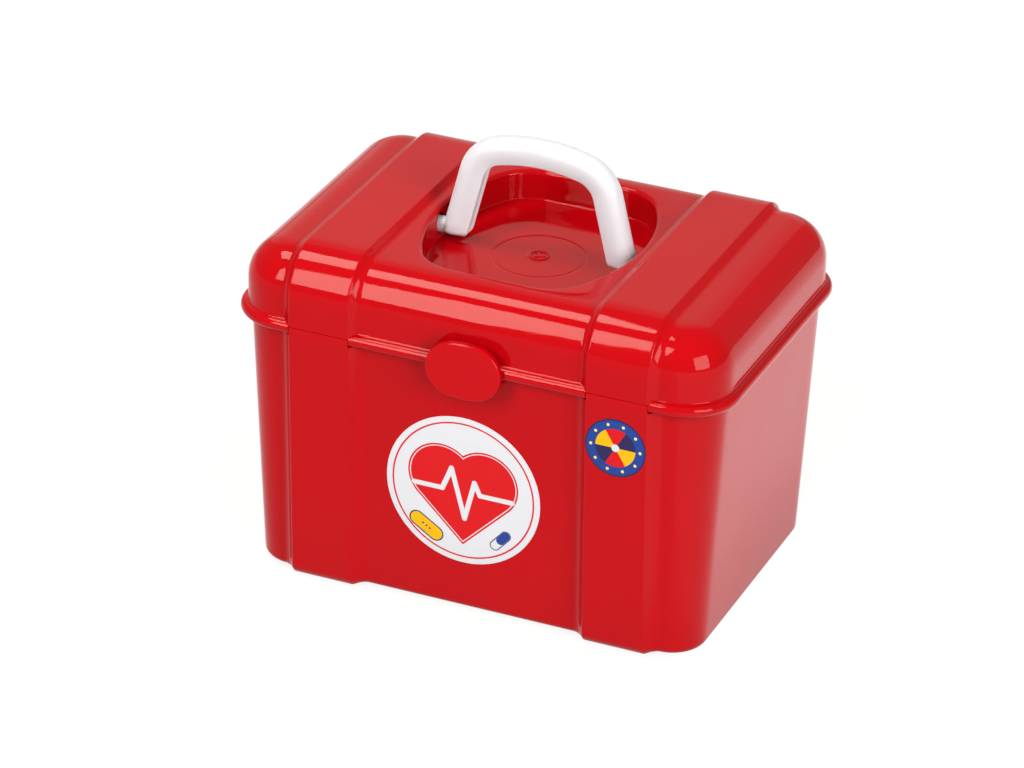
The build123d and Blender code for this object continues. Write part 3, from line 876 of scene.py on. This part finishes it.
catch_outline = [(-81.6, 128.8), (-84.5, 129.4), (-84.5, 130.0), (-81.6, 131.2)]
catch = prism("catch", catch_outline, -8, 8, shell_red, 0.2)
tub_fittings = join(row_along_x(hinge, 2, 2 * hinge_x), catch)
tub_fittings.name = "tub_hinge_ears_and_catch"
apply_modifiers(tub_fittings)
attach(tub_fittings, "tub")

# The carry handle: a milky white moulding, a channel open towards the hand, with round feet and
# an axle at each foot that turns in a slot of the recess.
milk_white, tree, surface = shader("milky white plastic")
surface.inputs["Base Color"].default_value = (0.495, 0.51, 0.585, 1)
surface.inputs["Subsurface Weight"].default_value = 0.6
surface.inputs["Subsurface Radius"].default_value = (1.0, 0.75, 0.65)
surface.inputs["Subsurface Scale"].default_value = 0.006
surface.inputs["IOR"].default_value = 1.5
place_node = tree.nodes.new("ShaderNodeTexCoord")
marks = link_new(
    tree, "ShaderNodeTexNoise", Vector=place_node.outputs["Object"], Scale=60.0, Detail=5.0, Roughness=0.7
)
dull = link_new(tree, "ShaderNodeMapRange", Value=marks.outputs["Fac"])
dull.inputs["To Min"].default_value = 0.24
dull.inputs["To Max"].default_value = 0.38
tree.links.new(dull.outputs["Result"], surface.inputs["Roughness"])
grain = link_new(tree, "ShaderNodeTexNoise", Vector=place_node.outputs["Object"], Scale=700.0, Detail=2.0)
skin = link_new(tree, "ShaderNodeBump", Strength=0.08, Distance=0.00008, Height=grain.outputs["Fac"])
tree.links.new(skin.outputs["Normal"], surface.inputs["Normal"])
foot_half = 51.1
handle_reach = 56.2
crown_radius = 96.0
shoulder_radius = 25.0
lean = math.radians(14.0)
handle_thick = 13.7
handle_half_depth = 6.1
handle_wall = 2.6
handle_round = 5.8
foot_corner = 3.5
foot_drop = 3.7
rim_taper = 1.3
axle_radius = 4.2
axle_end = 57.0


def handle_path():
    """Outer line of the right half: (x, z, outward x, outward z), up the leg to the crown."""
    crown_z = axle_height + handle_reach - crown_radius
    along = (-math.sin(lean), math.cos(lean))
    inward = (-math.cos(lean), -math.sin(lean))
    # Middle of the shoulder's arc: on the line inside the leg, and inside the crown's circle
    base = (foot_half + shoulder_radius * inward[0], axle_height + shoulder_radius * inward[1] - crown_z)
    dot = base[0] * along[0] + base[1] * along[1]
    reach = crown_radius - shoulder_radius
    step = -dot + math.sqrt(dot**2 - base[0] ** 2 - base[1] ** 2 + reach**2)
    middle = (base[0] + step * along[0], base[1] + step * along[1])
    path = []
    for distance in np.linspace(4.2, step, 12)[:-1]:
        x, z = foot_half + distance * along[0], axle_height + distance * along[1]
        path.append((x, z, -inward[0], -inward[1]))
    start = math.atan2(-inward[1], -inward[0])
    end = math.atan2(middle[1], middle[0])
    for angle in np.linspace(start, end, 20)[:-1]:
        n = (math.cos(angle), math.sin(angle))
        path.append((middle[0] + shoulder_radius * n[0], crown_z + middle[1] + shoulder_radius * n[1], *n))
    for angle in np.linspace(end, math.pi / 2, 14)[:-1]:
        n = (math.cos(angle), math.sin(angle))
        path.append((crown_radius * n[0], crown_z + crown_radius * n[1], *n))
    return path, crown_z + crown_radius


def handle_section():
    """Cross-section (across, in from the outer face) of the channel, one closed loop."""
    wide, round_off, deep, wall = handle_half_depth, handle_round, handle_thick, handle_wall
    half = wall / 2
    rim_middle = wide - rim_taper - half
    outer = arc_points((wide - round_off, round_off), round_off, 270, 360, 10)
    inner = arc_points((wide - round_off, round_off), round_off - wall, 270, 360, 8)
    for share in (0.2, 0.4, 0.6, 0.8, 1.0):
        depth = round_off + share * (deep - half - round_off)
        outer.append((wide - rim_taper * share**2, depth))
        inner.append((wide - wall - rim_taper * share**2, depth))
    rim = arc_points((rim_middle, deep - half), half, 0, 180, 8)[1:-1]
    right_half = outer + rim + inner[::-1]
    left_half = [(-across, depth) for across, depth in right_half[::-1]]
    return right_half + left_half


def handle_mesh():
    """Rings of the section from the right foot's round end over the crown to the left foot's."""
    rings = []
    section = handle_section()
    for angle in np.radians(np.linspace(4, 90, 15)):
        drop = foot_drop * math.cos(angle)
        beyond = max(drop - foot_drop + foot_corner, 0)
        corner = foot_corner - math.sqrt(foot_corner**2 - beyond**2)
        narrow = 1 - 2 * corner / handle_thick
        outer_x = foot_half + drop * math.tan(lean)
        ring = []
        for across, depth in section:
            x = outer_x - (corner + depth * narrow) / math.cos(lean)
            ring.append((x, across * math.sin(angle), axle_height - drop))
        rings.append(np.array(ring))
    path, top = handle_path()
    across, depth = np.array(section).T
    for x, z, out_x, out_z in path:
        rings.append(np.column_stack([x - out_x * depth, across, z - out_z * depth]))
    mirrored = [ring * (-1, 1, 1) for ring in rings[::-1]]
    rings.append(np.column_stack([0 * depth, across, top - depth]))
    rings += mirrored
    faces = chain_faces(rings)
    count = len(section)
    faces.append(tuple(range(count))[::-1])
    faces.append(tuple(range(count * (len(rings) - 1), count * len(rings))))
    return np.concatenate(rings), faces


handle = make_object("carry_handle_moulding", *handle_mesh(), milk_white, 50)
face_outwards(handle)
axle_start = 39.8
axle_outline = arc_points((0, axle_height), axle_radius, 0, 348.75, 31)
axle_half_length = (axle_end - axle_start) / 2
axle = prism("axle", axle_outline, -axle_half_length, axle_half_length, milk_white, 0.5)
handle = join(handle, row_along_x(axle, 2, axle_start + axle_end))
apply_modifiers(handle, 50)
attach(handle, "handle")
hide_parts("carry_handle")

# The clasp: an oval plate of the same red plastic that flips up on a pin at its top. Behind it
# are the knuckle round the pin and the rib that hooks under the tub's catch.
clasp_red = red_plastic("red plastic of the clasp", (0.342, 0.0006, 0.003))
clasp_half = (19.7, 14.9)
clasp_middle = 139.7
clasp_back = -89.1
clasp_thick = 3.6
end_radius = 14.4
crown = 42.74
clasp_axis = ear_axis


def clasp_outline(steps):
    """Points and outward directions round the plate, from arcs of two radii."""
    end_x = clasp_half[0] - end_radius
    crown_z = clasp_half[1] - crown
    turn_angle = math.atan2(-crown_z, end_x)
    points, normals = [], []
    for centre, radius, start, end in (
        ((end_x, 0), end_radius, -turn_angle, turn_angle),
        ((0, crown_z), crown, turn_angle, math.pi - turn_angle),
        ((-end_x, 0), end_radius, math.pi - turn_angle, math.pi + turn_angle),
        ((0, -crown_z), crown, math.pi + turn_angle, 2 * math.pi - turn_angle),
    ):
        for angle in np.linspace(start, end, steps + 1)[:-1]:
            normals.append((math.cos(angle), math.sin(angle)))
            points.append((centre[0] + radius * normals[-1][0], centre[1] + radius * normals[-1][1]))
    return np.array(points), np.array(normals)


def clasp_plate():
    """Plate with a flat face and a soft front edge."""
    points, normals = clasp_outline(28)
    rings = []
    front = clasp_back - clasp_thick
    soft = 1.1
    profile = [(1.0, clasp_back), (0.25, clasp_back), (0.07, clasp_back - 0.07), (0, clasp_back - 0.25)]
    for angle in np.radians(np.linspace(0, 90, 9)):
        profile.append((soft * (1 - math.cos(angle)), front + soft * (1 - math.sin(angle))))
    for inset, y in profile:
        ring = points - normals * inset
        rings.append(np.column_stack([ring[:, 0], np.full(len(ring), y), ring[:, 1] + clasp_middle]))
    for share, y in ((0.8, front), (0.5, front), (0.2, front)):
        ring = (points - normals * soft) * share
        rings.append(np.column_stack([ring[:, 0], np.full(len(ring), y), ring[:, 1] + clasp_middle]))
    faces = chain_faces(rings)
    count = len(points)
    all_points = np.concatenate(rings + [np.array([(0, front, clasp_middle)])])
    k = np.arange(count)
    after = (k + 1) % count
    last = count * (len(rings) - 1)
    faces += [(int(last + a), int(last + b), len(all_points) - 1) for a, b in zip(k, after)]
    faces.append(tuple(range(count))[::-1])
    return all_points, faces


clasp = make_object("clasp_moulding", *clasp_plate(), clasp_red)
pocket_half = 2.43
low, high = clasp_axis[1] - pocket_half, clasp_axis[1] + pocket_half
front_side, back_side = clasp_axis[0] - pocket_half, clasp_axis[0] + pocket_half
pocket_outline = [(front_side, low), (back_side, low), (back_side, high), (front_side, high)]
pocket = prism("pocket", pocket_outline, -1.8, 1.8, clasp_red)
cut(clasp, row_along_x(pocket, 2, ear_spacing))
knuckle = prism("knuckle", arc_points(clasp_axis, 2.18, 0, 348.75, 31), -7, 7, clasp_red, 0.2)
knuckle = bore(knuckle, clasp_axis, 1.28)
knuckle.data.materials[0] = clasp_red
hook_outline = [(-90.5, 127.0), (-84.9, 127.0), (-84.9, 128.4), (-90.5, 128.4)]
hook = prism("hook", hook_outline, -8, 8, clasp_red, 0.3)
clasp = join(clasp, knuckle, hook)
apply_modifiers(clasp)
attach(clasp, "clasp")
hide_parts("clasp")


# The labels: two round printed stickers, flat on the front. The print is plain and generic: on
# the large one a red heart with a pulse line, on the small one a wheel of coloured sectors.
wall_lean = math.atan2(4.6, 141.2)


class Print:
    """A label's print. x and z run from -1 to 1 across it, and inks are laid one over another."""

    def __init__(self, name, centre, radius, ground, edge):
        self.material, self.tree, self.surface = shader(name)
        self.edge = edge
        self.colour = ground
        place_node = self.tree.nodes.new("ShaderNodeTexCoord")
        centred = self.tree.nodes.new("ShaderNodeMapping")
        centred.vector_type = "TEXTURE"
        centred.inputs["Location"].default_value = [c * MM for c in centre]
        centred.inputs["Rotation"].default_value = (wall_lean, 0, 0)
        centred.inputs["Scale"].default_value = [radius * MM] * 3
        self.tree.links.new(place_node.outputs["Object"], centred.inputs["Vector"])
        split = link_new(self.tree, "ShaderNodeSeparateXYZ", Vector=centred.outputs["Vector"])
        self.x, self.z = split.outputs["X"], split.outputs["Z"]
        self.from_middle = self.length(self.x, self.z)

    def value(self, kind, *values, clamp=False):
        """One Math node; each value is a number or another node's output."""
        node = self.tree.nodes.new("ShaderNodeMath")
        node.operation = kind
        node.use_clamp = clamp
        for k, value in enumerate(values):
            if isinstance(value, bpy.types.NodeSocket):
                self.tree.links.new(value, node.inputs[k])
            else:
                node.inputs[k].default_value = value
        return node.outputs[0]

    def less(self, one, other):
        return self.value("SUBTRACT", one, other)

    def length(self, x, z):
        squares = self.value("MULTIPLY_ADD", x, x, self.value("MULTIPLY", z, z))
        return self.value("SQRT", squares)

    def near(self, one, other, half):
        """Signed distance to a stripe about a value."""
        return self.less(self.value("ABSOLUTE", self.less(one, other)), half)

    def bar(self, start, end, half):
        """Signed distance to a round-ended bar."""
        ux, uz = end[0] - start[0], end[1] - start[1]
        square = ux * ux + uz * uz
        dx, dz = self.less(self.x, start[0]), self.less(self.z, start[1])
        share_z = self.value("MULTIPLY", dz, uz / square)
        along = self.value("MULTIPLY_ADD", dx, ux / square, share_z, clamp=True)
        rx = self.value("MULTIPLY_ADD", along, -ux, dx)
        rz = self.value("MULTIPLY_ADD", along, -uz, dz)
        return self.less(self.length(rx, rz), half)

    def ink(self, colour, distance):
        """Prints a colour where a signed distance is negative."""
        mixed = self.tree.nodes.new("ShaderNodeMix")
        mixed.data_type = "RGBA"
        if isinstance(self.colour, bpy.types.NodeSocket):
            self.tree.links.new(self.colour, mixed.inputs["A"])
        else:
            mixed.inputs["A"].default_value = (*self.colour, 1)
        mixed.inputs["B"].default_value = (*colour, 1)
        cover = self.value("MULTIPLY_ADD", distance, -1 / self.edge, 0.5, clamp=True)
        self.tree.links.new(cover, mixed.inputs["Factor"])
        self.colour = mixed.outputs["Result"]

    def finish(self):
        """Coated paper: a soft gloss with fine unevenness."""
        tree, surface = self.tree, self.surface
        tree.links.new(self.colour, surface.inputs["Base Color"])
        place_node = tree.nodes.new("ShaderNodeTexCoord")
        place_output = place_node.outputs["Object"]
        fibre = link_new(tree, "ShaderNodeTexNoise", Vector=place_output, Scale=1400.0, Detail=3.0)
        unevenness = fibre.outputs["Fac"]
        skin = link_new(tree, "ShaderNodeBump", Strength=0.08, Distance=0.00005, Height=unevenness)
        tree.links.new(skin.outputs["Normal"], surface.inputs["Normal"])
        dull = link_new(tree, "ShaderNodeMapRange", Value=unevenness)
        dull.inputs["To Min"].default_value = 0.30
        dull.inputs["To Max"].default_value = 0.42
        tree.links.new(dull.outputs["Result"], surface.inputs["Roughness"])
        surface.inputs["Specular IOR Level"].default_value = 0.2


paper = (0.465, 0.48, 0.555)
red_ink = (0.43, 0.001, 0.004)
yellow_ink = (0.58, 0.31, 0.0)
pale_yellow_ink = (0.58, 0.48, 0.16)
navy_ink = (0.012, 0.010, 0.06)
blue_ink = (0.008, 0.032, 0.20)


def node_middle(node):
    low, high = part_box(node)
    return tuple((low[i] + high[i]) / 2 / MM for i in range(3))


main_radius = 40.7
main_middle = node_middle("main_label")
main_print = Print("printed main label", main_middle, main_radius, paper, 0.006)
main_print.ink(red_ink, main_print.near(main_print.from_middle, 0.915, 0.011))
heart_size = 0.80
heart_bottom = 0.70
root_half = math.sqrt(0.5)
wide = main_print.value("ABSOLUTE", main_print.x)
raised = main_print.value("ADD", main_print.z, heart_bottom)
u = main_print.value("MULTIPLY", main_print.value("ADD", wide, raised), root_half)
v = main_print.value("MULTIPLY", main_print.less(raised, wide), root_half)
below_square = main_print.value("MULTIPLY", v, -1.0)
from_square = main_print.value("MAXIMUM", main_print.less(u, heart_size), below_square)
from_lobe = main_print.length(main_print.less(u, heart_size), main_print.less(v, heart_size / 2))
heart = main_print.value("MINIMUM", from_square, main_print.less(from_lobe, heart_size / 2))
for outline_colour, grown in ((paper, 0.06), (red_ink, 0.035), (paper, 0.012), (red_ink, 0.0)):
    main_print.ink(outline_colour, main_print.less(heart, grown))
pulse = [(-0.64, -0.02), (-0.27, -0.02), (-0.15, 0.28), (0.02, -0.38)]
pulse += [(0.15, 0.14), (0.22, -0.02), (0.64, -0.02)]
for start, end in zip(pulse[:-1], pulse[1:]):
    main_print.ink(paper, main_print.bar(start, end, 0.032))
plaster = ((-0.60, -0.52), (-0.36, -0.68))
main_print.ink(navy_ink, main_print.bar(*plaster, 0.105))
main_print.ink(yellow_ink, main_print.bar(*plaster, 0.088))
for share in (0.32, 0.5, 0.68):
    spot = [plaster[0][k] + share * (plaster[1][k] - plaster[0][k]) for k in (0, 1)]
    main_print.ink(navy_ink, main_print.bar(spot, (spot[0] + 0.001, spot[1]), 0.013))
pill = ((0.42, -0.66), (0.56, -0.50))
main_print.ink(navy_ink, main_print.bar(*pill, 0.068))
main_print.ink(paper, main_print.bar(*pill, 0.055))
main_print.ink(blue_ink, main_print.bar((0.49, -0.58), pill[1], 0.055))
main_print.finish()

band_radius = 15.6
band_label_middle = node_middle("band_label")
band_print = Print("printed band label", band_label_middle, band_radius, navy_ink, 0.014)
turned = band_print.value("ARCTAN2", band_print.z, band_print.x)
sector_place = band_print.value("MULTIPLY_ADD", turned, 3 / math.pi, 12.0)
sector = band_print.value("FLOOR", band_print.value("MODULO", sector_place, 3.0))
band_print.ink(red_ink, band_print.near(sector, 1.0, 0.5))
band_print.ink(yellow_ink, band_print.near(sector, 2.0, 0.5))
band_print.ink(paper, band_print.less(band_print.from_middle, 0.13))
band_print.ink(blue_ink, band_print.less(0.66, band_print.from_middle))
dots = 10
dot_ring = 0.81
dot_turn = band_print.value("MULTIPLY_ADD", turned, dots / (2 * math.pi), dots + 0.5)
dot_place = band_print.less(band_print.value("FRACT", dot_turn), 0.5)
dot_along = band_print.value("MULTIPLY", dot_place, 2 * math.pi * dot_ring / dots)
from_dot = band_print.length(dot_along, band_print.less(band_print.from_middle, dot_ring))
band_print.ink(pale_yellow_ink, band_print.less(from_dot, 0.05))
band_print.ink(navy_ink, band_print.less(0.95, band_print.from_middle))
band_print.finish()


def sticker(name, radius, middle, material):
    """Disc 0.2 mm thick with a softly rounded edge, leaning as the front does."""
    leaning = np.array(
        [
            [1, 0, 0],
            [0, math.cos(wall_lean), math.sin(wall_lean)],
            [0, -math.sin(wall_lean), math.cos(wall_lean)],
        ]
    )
    count = 96
    angles = np.arange(count) * 2 * math.pi / count
    rings = []
    profile = ((1.0, -0.1), (1.0, 0.04), (0.9985, 0.085), (0.996, 0.1), (0.6, 0.1), (0.2, 0.1))
    for share, out in profile:
        reach = radius * share
        rings.append(np.column_stack([reach * np.cos(angles), 0 * angles - out, reach * np.sin(angles)]))
    points = np.concatenate(rings + [np.array([(0, -0.1, 0)])])
    faces = chain_faces(rings)
    last = count * (len(rings) - 1)
    faces += [(last + k, last + (k + 1) % count, len(points) - 1) for k in range(count)]
    faces.append(tuple(range(count))[::-1])
    return make_object(name, points @ leaning + np.array(middle), faces, material, 40)


main_sticker = sticker("main_sticker", main_radius, main_middle, main_print.material)
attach(main_sticker, "tub")
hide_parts("main_label")
band_sticker = sticker("band_sticker", band_radius, band_label_middle, band_print.material)
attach(band_sticker, "tub")
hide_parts("band_label")

# The pins: ground steel wire, two through the hinges and one through the clasp's knuckle.
pin_steel, tree, surface = shader("ground steel")
place_node = tree.nodes.new("ShaderNodeTexCoord")
along = tree.nodes.new("ShaderNodeMapping")
along.inputs["Scale"].default_value = (1, 12, 12)
tree.links.new(place_node.outputs["Object"], along.inputs["Vector"])
streaks = link_new(tree, "ShaderNodeTexNoise", Vector=along.outputs["Vector"], Scale=300.0, Detail=3.0)
tone = link_new(tree, "ShaderNodeMapRange", Value=streaks.outputs["Fac"])
tone.inputs["To Min"].default_value = 0.2
tone.inputs["To Max"].default_value = 0.4
tree.links.new(tone.outputs["Result"], surface.inputs["Roughness"])
surface.inputs["Base Color"].default_value = (0.56, 0.56, 0.58, 1)
surface.inputs["Metallic"].default_value = 1.0
for node in ("hinge_pin_left", "hinge_pin_right", "clasp_pin"):
    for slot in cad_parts[node].material_slots:
        slot.material = pin_steel
